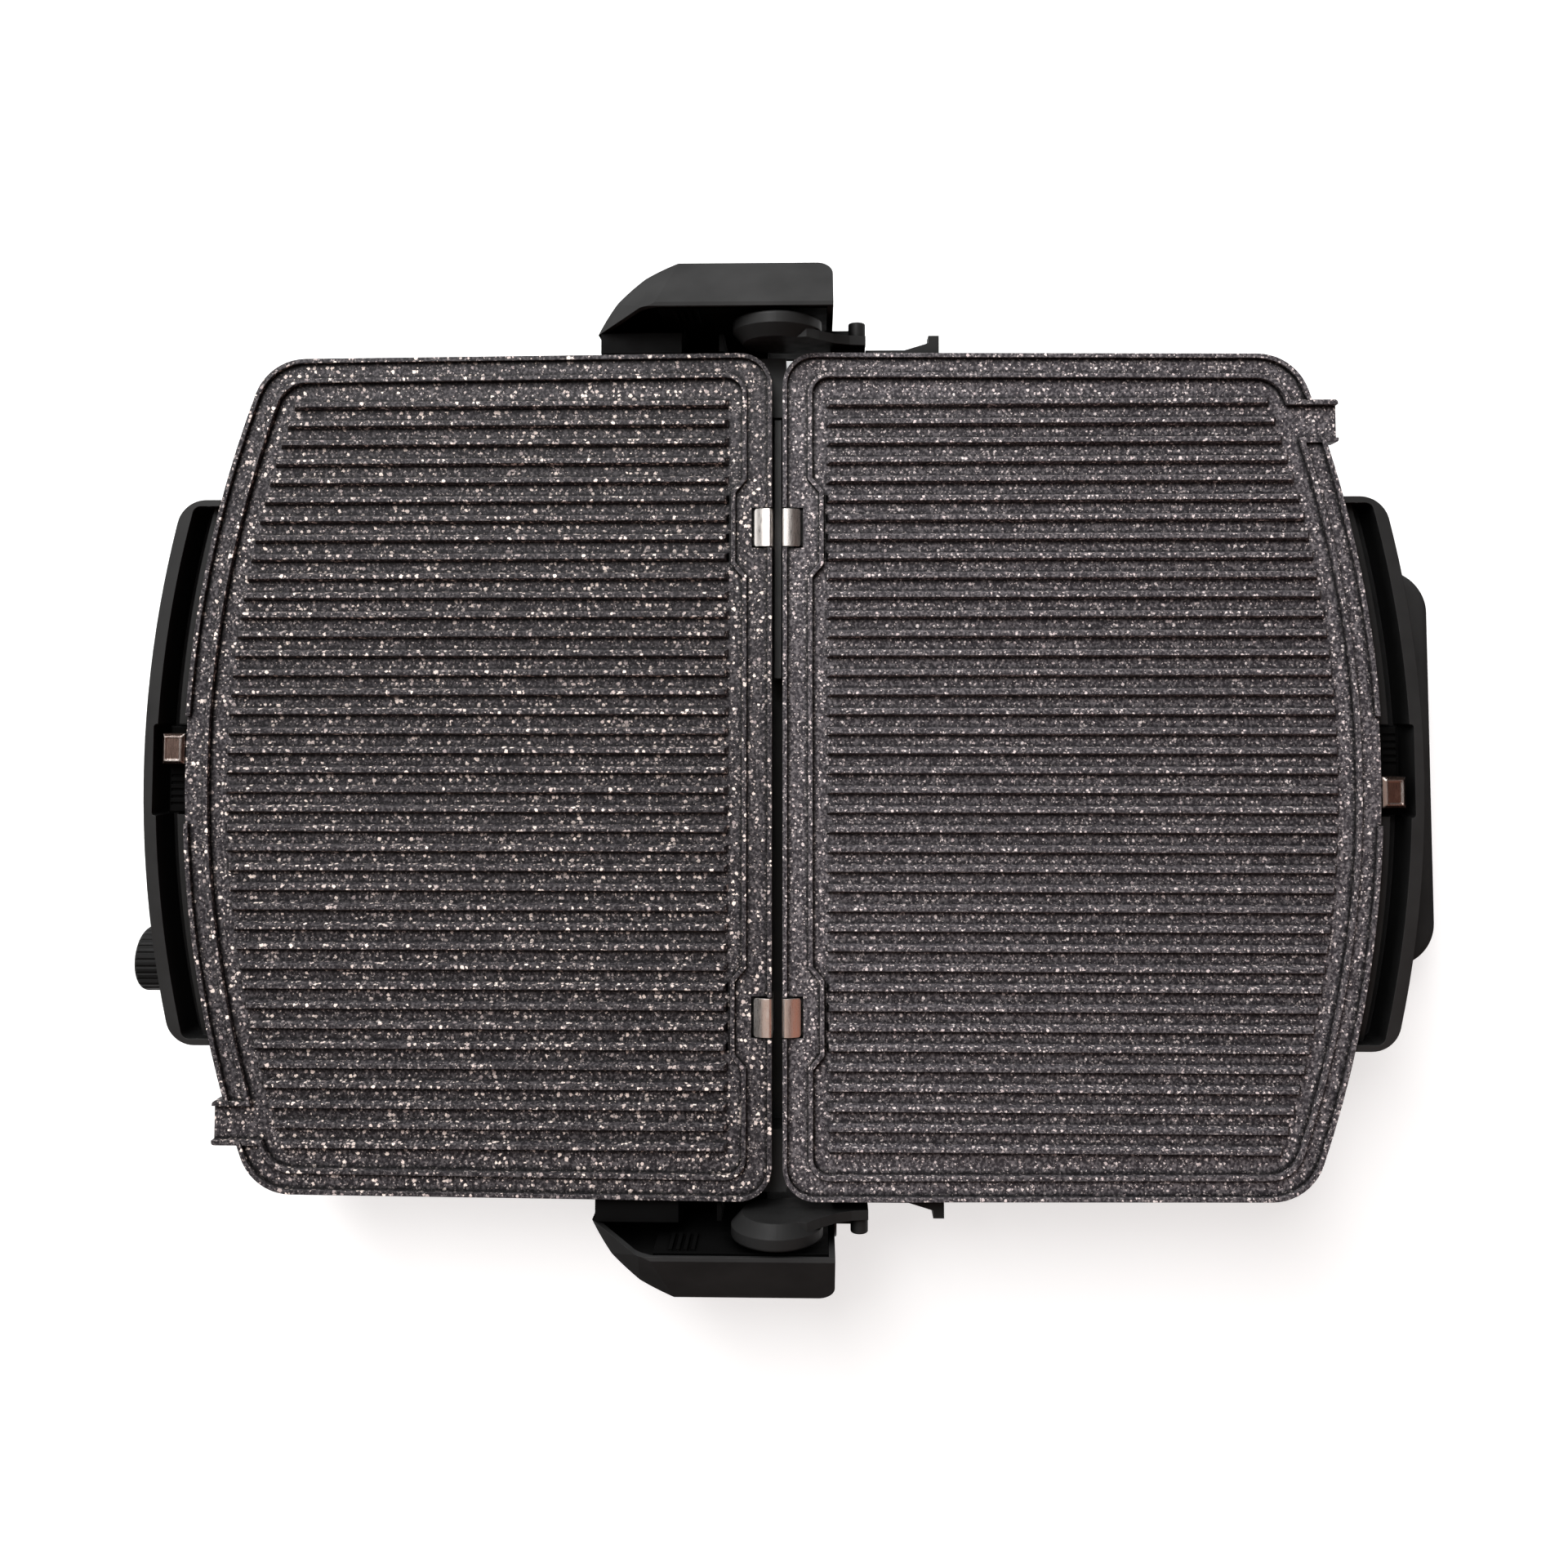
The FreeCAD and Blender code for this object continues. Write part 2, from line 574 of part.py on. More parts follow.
def side_hook():
    """Strip along the lid's side that ends in an outward hook."""
    z0 = PLANE_Z - 16
    z1 = PLANE_Z - 8.5
    plan = [(156.3, 33.2), (158.3, 33.2), (158.3, 48), (161, 57), (163.8, 57), (163.8, 61), (156.3, 61)]
    strip = prism_z(plan, z0, z1)
    web = box(149.3, 156.3, 54.6, 61, z0, z1)
    return strip.fuse(web).removeSplitter()


def beyond(a, b, c, inset):
    """Block on the far side of the plane through three points, moved inward by inset."""
    normal = (b - a).cross(c - a)
    normal = (normal if normal.z > 0 else normal * -1).normalize()
    block = Part.makeBox(200, 200, 60, V(-100, -100, 0))
    block.Placement = FreeCAD.Placement(a - normal * inset, FreeCAD.Rotation(ALONG_Z, normal))
    return block


def tower_body(inset, inner):
    """Block of the right-hand tower: bowed and slanting nose, leaning outer face, drafted lower wall."""
    out = 190.8 - inset
    rear = TOWER_REAR - inset
    nose = -67.7 + inset
    top = PLANE_Z + TOWER_TOP
    tip = V(163.5, nose, 0)
    turn = V(out, -37.5, 0)
    side = Part.Arc(tip, V(180.0 - inset * 0.74, -56.2 + inset * 0.67, 0), turn).toShape()
    edges = [side, Part.makeLine(turn, V(out, rear, 0)), Part.makeLine(V(out, rear, 0), V(inner, rear, 0)),
             Part.makeLine(V(inner, rear, 0), V(inner, -50, 0))]
    if inner < tip.x:
        edges += [Part.makeLine(V(inner, -50, 0), V(inner, nose, 0)), Part.makeLine(V(inner, nose, 0), tip)]
    else:
        edges.append(Part.makeLine(V(inner, -50, 0), tip))
    body = Part.Face(Part.Wire(edges)).extrude(V(0, 0, top - 6))
    body.translate(V(0, 0, 6))
    corner = [e for e in body.Edges
              if is_upright(e) and e.CenterOfMass.x > out - 1 and e.CenterOfMass.y > 0]
    body = body.makeFillet(6 - inset, corner)
    lean = inset * math.sqrt(2)
    crest = TOWER_IN + 1.5 - lean
    leaning = [(crest, top), (crest + 40, top - 40), (crest + 80, top - 40), (crest + 80, top + 20),
               (crest, top + 20)]
    body = body.cut(prism_y(leaning, -90, 40))
    draft = [(191.0 - inset, 58), (184.5 - inset, 5), (230, 5), (230, 58)]
    body = body.cut(prism_y(draft, -90, 40))
    peak = V(168, -48.2, top)
    nose_edge = [V(190.8, -37.5, 68.3), V(184.8, -50.1, 68), V(175.5, -60.5, 68), V(163.5, -67.7, 68)]
    for a, b in zip(nose_edge, nose_edge[1:]):
        body = body.cut(beyond(peak, a, b, inset))
    return body


def tower_shell():
    """Outer cover of the right-hand tower, open towards the plates."""
    shell = tower_body(0, TOWER_IN)
    cavity = tower_body(2.2, 150)
    cavity = cavity.cut(box(100, 240, -90, 40, 0, 8.2))
    return shell.cut(cavity)


def tower_liner():
    """Inner wall of the right-hand tower with the hinge slot, slide rails and cradle ribs."""
    z = PLANE_Z
    front = -43.5
    rear = TOWER_REAR - 2.3
    wall = box(TOWER_IN + 0.1, TOWER_IN + 2.3, front, rear, 8.3, z + TOWER_TOP - 4.3)
    rails = [box(TOWER_IN + 2.3, TOWER_IN + 4.3, y, y + 2.4, z - 24, z - 1) for y in (-12.6, 10.2)]
    ribs = [box(167.8, TOWER_IN + 0.1, y, y + 1.3, z - 4, z + 11) for y in (-38.2, -35.5, -32.8, -30.1)]
    liner = fuse([wall] + rails + ribs)
    slot = box(160, 180, -3.56, 3.56, z, z + HINGE_LIFT)
    ends = [rod(3.56, V(160, 0, z + lift), V(180, 0, z + lift)) for lift in (0, HINGE_LIFT)]
    return liner.cut(fuse([slot] + ends))


def tower_ledge():
    """Moulded link between base and right-hand tower: raised ledge, open recess and slim post."""
    z = PLANE_Z
    wide = [(149.3, 6), (168.5, 6), (168.5, z - 14), (164, z - 7), (164, z - 3), (156.2, z - 3),
            (156.2, z - 8), (149.3, z - 8)]
    low = [(149.3, 6), (168.5, 6), (168.5, z - 42), (149.3, z - 42)]
    inside = [(151.5, 5), (166.3, 5), (166.3, z - 44.2), (151.5, z - 44.2)]
    block = prism_y(wide, -66.5, -36).fuse(prism_y(low, -36, -5))
    post = box(156.8, 163.4, -22, -20.2, z - 43, z - 3)
    block = fuse([block, post])
    block = block.cut(prism_y(inside, -64.3, -7.2))
    room = tower_body(2.3, 150).cut(box(100, 240, -90, 40, 0, 8.4))
    block = block.cut(tower_body(0, TOWER_IN).cut(room))
    return max(block.Solids, key=lambda solid: solid.Volume)


def hinge_slide():
    z = PLANE_Z
    plate = box(TOWER_IN + 2.5, TOWER_IN + 4.5, -10, 10, z - 18, z + 3.5)
    plate = plate.makeFillet(2, [e for e in plate.Edges if abs(e.CenterOfMass.z - z - 3.5) < 0.1
                                 and abs(e.CenterOfMass.y) > 9])
    return plate.cut(rod(2.5, V(160, 0, z), V(180, 0, z)))


def hinge_pin():
    """Stepped pin, riveted into the slide, whose free end sits in the arm's blind bore."""
    z = PLANE_Z
    pin = rod(3.5, V(160.7, 0, z), V(TOWER_IN + 2.5, 0, z))
    pin = rounded(pin, 0.6, lambda c: c.x < 160.8)
    return pin.fuse(rod(2.5, V(162, 0, z), V(TOWER_IN + 4.5, 0, z)))


def dial_knob():
    """Ribbed dial on the front of the base, turning about Y."""
    radius = 12.6
    back = -232.0
    knob = rod(radius, V(KNOB_X, back, KNOB_Z), V(KNOB_X, -REACH, KNOB_Z))
    knob = rounded(knob, 2.2, lambda c: c.y < -REACH + 0.1)
    count = 30
    for i in range(count):
        angle = 2 * math.pi * i / count
        x = KNOB_X + (radius + 0.25) * math.cos(angle)
        z = KNOB_Z + (radius + 0.25) * math.sin(angle)
        knob = knob.cut(rod(0.75, V(x, back + 2.5, z), V(x, -REACH - 1, z)))
    knob = knob.cut(rod(3.0, V(KNOB_X, back + 1, KNOB_Z), V(KNOB_X, -REACH + 3.2, KNOB_Z)))
    return knob.cut(box(KNOB_X - 0.9, KNOB_X + 0.9, -REACH - 1, -REACH + 0.8, KNOB_Z + 4, KNOB_Z + 10.5))


def dial_pointer():
    return box(KNOB_X - 0.85, KNOB_X + 0.85, -REACH + 0.1, -REACH + 0.8, KNOB_Z + 4.1, KNOB_Z + 10.4)


def thermostat_shaft():
    shaft = rod(3.0, V(KNOB_X, -REACH + 3.3, KNOB_Z), V(KNOB_X, THERMOSTAT_FRONT + 10, KNOB_Z))
    return shaft.cut(box(KNOB_X - 4, KNOB_X + 4, -REACH, -236, KNOB_Z + 1.6, KNOB_Z + 4))


def thermostat_body():
    front = THERMOSTAT_FRONT
    rear = front + 23
    body = box(KNOB_X - 15, KNOB_X + 15, front, rear, KNOB_Z - 11, KNOB_Z + 11)
    body = rounded(body, 2,
                   lambda c: abs(abs(c.x - KNOB_X) - 15) < 0.1 and abs(abs(c.z - KNOB_Z) - 11) < 0.1)
    neck = rod(5, V(KNOB_X, front, KNOB_Z), V(KNOB_X, front - 3, KNOB_Z))
    tabs = [box(KNOB_X + x - 3, KNOB_X + x + 3, rear, rear + 8, KNOB_Z - 0.4, KNOB_Z + 0.4)
            for x in (-8, 8)]
    body = fuse([body, neck] + tabs)
    return body.cut(rod(3.05, V(KNOB_X, front - 4, KNOB_Z), V(KNOB_X, front + 11, KNOB_Z)))


def thermostat_bracket():
    seat = THERMOSTAT_FRONT - 0.1
    plate = box(KNOB_X - 17, KNOB_X + 17, seat - 1.4, seat, KNOB_Z - 13, KNOB_Z + 13)
    foot = box(KNOB_X - 17, KNOB_X + 17, seat, seat + 9, KNOB_Z - 13, KNOB_Z - 11.6)
    bracket = plate.fuse(foot).removeSplitter()
    return bracket.cut(rod(5.2, V(KNOB_X, seat - 3, KNOB_Z), V(KNOB_X, seat + 1, KNOB_Z)))


def terminal_block():
    block = box(100, 126, -92, -52, BASE_LOW, BASE_LOW + 16)
    cuts = [box(104, 122, y, y + 8, BASE_LOW + 9, BASE_LOW + 20) for y in (-90, -76, -62)]
    for cut in cuts:
        block = block.cut(cut)
    return block


def lens_spots():
    """Centres of the two indicator lamps on the base's front panel, at its outer surface."""
    spots = []
    for x in (36, 50):
        spots.append(V(x, -(bow_y(RIM_FRONT - 1.2, RIM_BOW - 1.2, x)), 40))
    return spots


def indicator_lenses():
    lenses = []
    for spot in lens_spots():
        lens = rod(2.6, V(spot.x, spot.y + 9, spot.z), V(spot.x, spot.y - 1.2, spot.z))
        lenses.append(rounded(lens, 0.9, lambda c, y=spot.y: c.y < y - 1.1))
    return Part.makeCompound(lenses)


def base_front_panel():
    """The base's front panel, pierced for the dial and the lamps, with a seat behind the dial."""
    panel = to_base(front_panel(BASE_LOW - 1.5, 229.5, 12))
    seat = rod(13.2, V(KNOB_X, -222, KNOB_Z), V(KNOB_X, -231.4, KNOB_Z))
    panel = fuse([panel, seat])
    panel = panel.cut(rod(4, V(KNOB_X, -240, KNOB_Z), V(KNOB_X, -205, KNOB_Z)))
    for spot in lens_spots():
        panel = panel.cut(rod(2.7, V(spot.x, spot.y + 12, spot.z), V(spot.x, spot.y - 5, spot.z)))
    return panel


def cord_gland():
    """Bush for a mains lead, in the rear of the right-hand tower."""
    x = GLAND_X
    z = GLAND_Z
    collar = rod(7.5, V(x, TOWER_REAR + 0.05, z), V(x, TOWER_REAR + 1.3, z))
    collar = rounded(collar, 0.6, lambda c: c.y > TOWER_REAR + 1.2)
    sleeve = rod(5.6, V(x, TOWER_REAR - 8, z), V(x, TOWER_REAR + 0.05, z))
    barb = rod(6.2, V(x, TOWER_REAR - 6, z), V(x, TOWER_REAR - 2.5, z))
    gland = fuse([collar, sleeve, barb])
    return gland.cut(rod(3.6, V(x, 0, z), V(x, 30, z)))


def build_all():
    nodes = {}
    plate = cooking_plate()
    clips = rear_clips()
    button = latch_button()
    catch = latch_catch()
    spring = latch_spring()

    nodes["lid_plate"] = plate
    nodes["base_plate"] = to_base(plate)
    nodes["lid_rear_clips"] = clips
    nodes["base_rear_clips"] = to_base(clips)
    nodes["lid_latch_button"] = button
    nodes["base_latch_button"] = to_base(button)
    nodes["lid_latch_catch"] = catch
    nodes["base_latch_catch"] = to_base(catch)
    nodes["lid_latch_spring"] = spring
    nodes["base_latch_spring"] = to_base(spring)

    nodes["base_shell"] = base_shell()
    nodes["base_front_panel"] = base_front_panel()
    nodes["base_bottom_cover"] = to_base(base_cover())
    nodes["base_feet"] = to_base(base_feet())
    nodes["base_reflector"] = to_base(reflector_pan(PAN_FLOOR))
    nodes["base_heating_element"] = to_base(heating_element(PAN_FLOOR))
    head_z = BASE_LOW - COVER_THICK + 0.6
    nodes["base_cover_screws"] = to_base(Part.makeCompound(
        [screw(V(x, y, head_z), False, 11) for x, y in SCREW_SPOTS]))

    nodes["lid_shell"] = lid_shell()
    deck_z = PLANE_Z - DECK_DROP - HEAD_SINK
    nodes["lid_deck_screws"] = Part.makeCompound([screw(V(x, y, deck_z), True, 10) for x, y in SCREW_SPOTS])
    nodes["lid_front_panel"] = front_panel(PLANE_Z - 31, 229.5, 6)
    nodes["lid_top_cover"] = lid_cover()
    nodes["lid_reflector"] = reflector_pan(PAN_FLOOR)
    nodes["lid_heating_element"] = heating_element(PAN_FLOOR)
    nodes["lid_thermal_cutout"] = thermal_cutout(PAN_FLOOR)
    nodes["handle_brackets"] = Part.makeCompound(handle_brackets())
    nodes["handle_grip"] = handle_grip()

    for name, make in (("hinge_arm", hinge_arm), ("side_hook", side_hook), ("tower_shell", tower_shell),
                       ("tower_liner", tower_liner), ("tower_ledge", tower_ledge)):
        right = make()
        nodes[name + "_right"] = right
        nodes[name + "_left"] = mirrored(right)
    for name, make in (("hinge_slides", hinge_slide), ("hinge_pins", hinge_pin)):
        right = make()
        nodes[name] = Part.makeCompound([right, mirrored(right)])

    gland_way = rod(5.8, V(GLAND_X, 10, GLAND_Z), V(GLAND_X, 30, GLAND_Z))
    nodes["tower_shell_right"] = nodes["tower_shell_right"].cut(gland_way)
    nodes["cord_gland"] = cord_gland()
    nodes["dial_knob"] = dial_knob()
    nodes["dial_pointer"] = dial_pointer()
    nodes["thermostat_shaft"] = thermostat_shaft()
    nodes["thermostat_body"] = thermostat_body()
    nodes["thermostat_bracket"] = thermostat_bracket()
    nodes["terminal_block"] = terminal_block()
    nodes["indicator_lenses"] = indicator_lenses()
    return nodes


os.makedirs("parts", exist_ok=True)
for node, shape in build_all().items():
    if not shape.isValid() or shape.Volume <= 0:
        raise RuntimeError("bad solid: " + node)
    shape.exportStep("parts/" + node + ".step")
    print(node, len(shape.Solids), round(shape.Volume))
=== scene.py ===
import bpy
from mathutils import Matrix, Vector


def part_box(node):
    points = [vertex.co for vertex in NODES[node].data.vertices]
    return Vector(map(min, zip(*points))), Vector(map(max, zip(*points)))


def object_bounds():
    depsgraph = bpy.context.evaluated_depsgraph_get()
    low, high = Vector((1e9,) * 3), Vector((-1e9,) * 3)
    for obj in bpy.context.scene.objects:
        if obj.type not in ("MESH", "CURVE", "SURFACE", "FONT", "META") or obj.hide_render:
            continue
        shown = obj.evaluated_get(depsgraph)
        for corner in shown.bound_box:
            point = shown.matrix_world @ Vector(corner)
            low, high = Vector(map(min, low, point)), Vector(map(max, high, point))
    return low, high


# Panini press lying open on a pale floor: the base towards -Y, the lid towards +Y, the hinge along X.
# Lengths are in metres, colours are linear.
MM = 0.001
FLOOR_HALF = 4.0
FLOOR_GAP = 0.2 * MM       # the floor lies this far below the press
FLOOR_GLOW = 1.1
CAMERA_HEIGHT = 0.513      # above the plates
FOCAL_LENGTH = 31.9        # of a 36 mm wide sensor, in millimetres
FRAME_SHIFT = -0.1

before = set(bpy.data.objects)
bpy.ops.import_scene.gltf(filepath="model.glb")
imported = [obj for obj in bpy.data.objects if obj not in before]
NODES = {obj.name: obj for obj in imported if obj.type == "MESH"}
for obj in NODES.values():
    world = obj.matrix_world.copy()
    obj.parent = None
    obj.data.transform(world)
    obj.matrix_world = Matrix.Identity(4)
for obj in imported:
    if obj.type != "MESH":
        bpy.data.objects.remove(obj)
CAD_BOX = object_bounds()


class Surface:
    """A principled material, with short calls for the nodes that feed its shader."""

    def __init__(self, name, **constants):
        self.material = bpy.data.materials.new(name)
        self.material.use_nodes = True
        self.tree = self.material.node_tree
        self.shader = self.tree.nodes["Principled BSDF"]
        for words, value in constants.items():
            self.socket(words).default_value = value
        self.place = self.add("ShaderNodeTexCoord").outputs["Object"]

    def socket(self, words):
        """The shader's input whose label reads like words, such as base_color."""
        return self.shader.inputs[words.replace("_", " ").title().replace("Ior", "IOR")]

    def add(self, kind, **settings):
        node = self.tree.nodes.new(kind)
        for name, value in settings.items():
            setattr(node, name, value)
        return node

    def feed(self, socket, value):
        """Sets a socket to a number or colour, or links it to another node's output."""
        if isinstance(value, bpy.types.NodeSocket):
            self.tree.links.new(value, socket)
        else:
            socket.default_value = value

    def math(self, operation, a, b=0.0, clamp=False):
        node = self.add("ShaderNodeMath", operation=operation, use_clamp=clamp)
        self.feed(node.inputs[0], a)
        self.feed(node.inputs[1], b)
        return node.outputs[0]

    def stretched(self, x, y, z):
        """Object coordinates scaled along each axis, for grain that runs one way."""
        node = self.add("ShaderNodeMapping")
        self.feed(node.inputs["Vector"], self.place)
        node.inputs["Scale"].default_value = (x, y, z)
        return node.outputs[0]

    def noise(self, size, detail, place=None, output="Fac"):
        """Noise whose features are about size metres across."""
        node = self.add("ShaderNodeTexNoise")
        self.feed(node.inputs["Vector"], place or self.place)
        node.inputs["Scale"].default_value = 1 / size
        node.inputs["Detail"].default_value = detail
        return node.outputs[output]

    def mapped(self, value, low, high, to_low=0.0, to_high=1.0):
        node = self.add("ShaderNodeMapRange")
        self.feed(node.inputs["Value"], value)
        node.inputs["From Min"].default_value = low
        node.inputs["From Max"].default_value = high
        node.inputs["To Min"].default_value = to_low
        node.inputs["To Max"].default_value = to_high
        return node.outputs[0]

    def patches(self, size, detail, to_low=0.0, to_high=1.0):
        """Noise with its usual spread of 0.3 to 0.7 stretched to the given range."""
        return self.mapped(self.noise(size, detail), 0.3, 0.7, to_low, to_high)

    def blend(self, factor, a, b):
        """Mix of two colours. The node has such sockets for each kind of data, so they go by place."""
        node = self.add("ShaderNodeMix", data_type="RGBA")
        self.feed(node.inputs["Factor"], factor)
        self.feed(node.inputs[6], a)
        self.feed(node.inputs[7], b)
        return node.outputs[2]

    def bump(self, height, depth, normal=None):
        """Bump of height 0 to 1 over depth metres, on top of another normal if one is given."""
        node = self.add("ShaderNodeBump")
        self.feed(node.inputs["Height"], height)
        node.inputs["Distance"].default_value = depth
        if normal:
            self.feed(node.inputs["Normal"], normal)
        return node.outputs[0]

    def soft_edge(self, radius):
        """Normal that rounds sharp edges, and a mask of where it leans away from the face."""
        bevel = self.add("ShaderNodeBevel", samples=4)
        bevel.inputs["Radius"].default_value = radius
        flat = self.add("ShaderNodeNewGeometry").outputs["Normal"]
        product = self.add("ShaderNodeVectorMath", operation="DOT_PRODUCT")
        self.feed(product.inputs[0], bevel.outputs[0])
        self.feed(product.inputs[1], flat)
        return bevel.outputs[0], self.mapped(product.outputs["Value"], 0.98, 0.75)

    def painted_recess_shade(self, reach, dim, shut=0.42, clear=0.85):
        """Painted shade: a factor that falls from 1 in the open to dim inside narrow recesses, by ambient
        occlusion.
        """
        node = self.add("ShaderNodeAmbientOcclusion", samples=6)
        node.inputs["Distance"].default_value = reach
        return self.mapped(node.outputs["AO"], shut, clear, dim, 1.0)

    def scaled(self, colour, factor):
        node = self.add("ShaderNodeVectorMath", operation="SCALE")
        self.feed(node.inputs[0], colour)
        self.feed(node.inputs["Scale"], factor)
        return node.outputs[0]

    def finish(self, **links):
        for words, value in links.items():
            self.feed(self.socket(words), value)
        return self.material


def grey(value, warm=0.0):
    return (value * (1 + warm), value, value * (1 - warm), 1)


def flecks(surface, spacing, place, smallest, largest):
    """Mask of soft-edged specks, at most one to a cell, and each cell's random number.

    Radii are in cell widths, and a cell whose radius comes out negative stays empty.
    """
    softness = 0.05
    cells = surface.add("ShaderNodeTexVoronoi")
    surface.feed(cells.inputs["Vector"], place)
    cells.inputs["Scale"].default_value = 1 / spacing
    parts = surface.add("ShaderNodeSeparateColor")
    surface.feed(parts.inputs[0], cells.outputs["Color"])
    radius = surface.mapped(surface.math("POWER", parts.outputs[0], 2.0), 0, 1, smallest, largest)
    inside = surface.math("SUBTRACT", radius, cells.outputs["Distance"])
    return surface.math("DIVIDE", inside, softness, clamp=True), parts.outputs[1]


def speckled_coating(name, lift, big, fine, cream):
    """Dark stone-look non-stick coating, strewn with pale flecks, with shade painted into its creases.

    Lift brightens it all. Big and fine are the radii of the largest flecks of two sizes, in cell widths.
    """
    surface = Surface(name, specular_ior_level=0.12)
    sway = surface.scaled(surface.noise(0.8 * MM, 2, output="Color"), 1.3 * MM)
    moved = surface.add("ShaderNodeVectorMath", operation="ADD")
    surface.feed(moved.inputs[0], surface.place)
    surface.feed(moved.inputs[1], sway)
    place = moved.outputs[0]
    clouds = surface.patches(9 * MM, 4)
    ground = surface.blend(clouds, (0.0145, 0.0130, 0.0150, 1), (0.0220, 0.0200, 0.0225, 1))
    grain = surface.mapped(surface.noise(1.1 * MM, 4), 0.45, 0.64)
    ground = surface.blend(grain, ground, (0.085, 0.078, 0.082, 1))
    fine_mask, fine_tint = flecks(surface, 0.95 * MM, place, 0.06, fine)
    ground = surface.blend(surface.math("MULTIPLY", fine_mask, fine_tint), ground, (0.42, 0.37, 0.36, 1))
    big_mask, big_tint = flecks(surface, 1.55 * MM, place, -0.06, big)
    pale = surface.blend(big_tint, (0.30, 0.25, 0.25, 1), cream)
    colour = surface.blend(big_mask, ground, pale)
    height = surface.math("ADD", surface.noise(0.6 * MM, 3), surface.math("MULTIPLY", big_mask, 0.4))
    rounded, worn = surface.soft_edge(0.5 * MM)
    colour = surface.blend(surface.math("MULTIPLY", worn, 0.25), colour, grey(0.09, 0.02))
    # Painted shade: the coating darkens at the feet of its ribs and lips, by ambient occlusion.
    painted_crease_shade = surface.painted_recess_shade(2.2 * MM, 0.02, 0.6, 0.92)
    colour = surface.scaled(colour, surface.math("MULTIPLY", painted_crease_shade, lift))
    return surface.finish(base_color=colour, roughness=surface.patches(3 * MM, 3, 0.42, 0.56),
                          normal=surface.bump(height, 0.05 * MM, rounded))


def moulded_plastic(name, shade, sheen, gloss, dim=0.12):
    """Black moulding with a fine spark-eroded grain, paler along its handled edges, with shade painted
    into its recesses.

    Sheen is its roughness, and dim is how much of its colour the painted shade leaves deep in a recess.
    """
    surface = Surface(name, specular_ior_level=gloss)
    colour = surface.blend(surface.patches(22 * MM, 4), grey(shade * 0.85), grey(shade * 1.15))
    rounded, edges = surface.soft_edge(0.35 * MM)
    scuffs = surface.mapped(surface.noise(6 * MM, 5), 0.4, 0.75)
    colour = surface.blend(surface.math("MULTIPLY", edges, scuffs), colour, grey(shade * 2.2))
    # Painted shade: the colour darkens inside recesses, by ambient occlusion.
    colour = surface.scaled(colour, surface.painted_recess_shade(14 * MM, dim))
    roughness = surface.patches(5 * MM, 4, sheen - 0.05, sheen + 0.06)
    return surface.finish(base_color=colour, roughness=roughness,
                          normal=surface.bump(surface.noise(0.25 * MM, 3), 0.02 * MM, rounded))


def rolled_metal(name, tint, rough, grain_scale, wear=0.25, painted_edge_highlight=None, edge_reach=0.2 * MM):
    """Sheet or bar metal with fine drawing lines, dulled patches and rubbed edges a little rougher; an
    edge tint, where given, is a painted highlight along the edges.

    Grain_scale is the number of drawing lines to a metre along each axis.
    """
    surface = Surface(name, metallic=1.0)
    lines = surface.noise(1.0, 4, surface.stretched(*grain_scale))
    dulled = surface.mapped(surface.noise(4 * MM, 4), 0.35, 0.7)
    darker = tuple(part * (1 - wear) for part in tint)
    colour = surface.blend(dulled, (*tint, 1), (*darker, 1))
    rounded, edges = surface.soft_edge(edge_reach)
    # Painted highlight: the edges take the edge tint, a bright border along the latch catches' bevel.
    colour = surface.blend(edges, colour, (*(painted_edge_highlight or tint), 1))
    streaks = surface.mapped(lines, 0.3, 0.7, rough * 0.8, rough * 1.25)
    dulling = surface.math("ADD", streaks, surface.math("MULTIPLY", edges, 0.06))
    return surface.finish(base_color=colour, roughness=dulling,
                          normal=surface.bump(lines, 0.002 * MM, rounded))


def soft_rubber(name):
    """Matte black rubber with pale dust on it."""
    surface = Surface(name, specular_ior_level=0.3)
    dust = surface.mapped(surface.noise(3 * MM, 5), 0.45, 0.75)
    colour = surface.blend(dust, grey(0.022), grey(0.05, 0.04))
    return surface.finish(base_color=colour, roughness=surface.patches(1.5 * MM, 3, 0.72, 0.88),
                          normal=surface.bump(surface.noise(0.4 * MM, 4), 0.03 * MM))


def tinted_lens(name):
    """Clear red lens of an indicator lamp."""
    surface = Surface(name, transmission_weight=0.55, ior=1.49)
    colour = surface.blend(surface.patches(1.2 * MM, 2), (0.45, 0.012, 0.01, 1), (0.62, 0.03, 0.015, 1))
    return surface.finish(base_color=colour, roughness=surface.patches(0.8 * MM, 2, 0.06, 0.14),
                          normal=surface.bump(surface.noise(0.8 * MM, 2), 0.01 * MM))


def pale_moulding(name):
    """Cream phenolic or printed mark."""
    surface = Surface(name, specular_ior_level=0.4)
    colour = surface.blend(surface.patches(3 * MM, 4), (0.62, 0.58, 0.5, 1), (0.74, 0.71, 0.63, 1))
    return surface.finish(base_color=colour, roughness=surface.patches(2 * MM, 3, 0.45, 0.6),
                          normal=surface.bump(surface.noise(0.3 * MM, 3), 0.02 * MM))


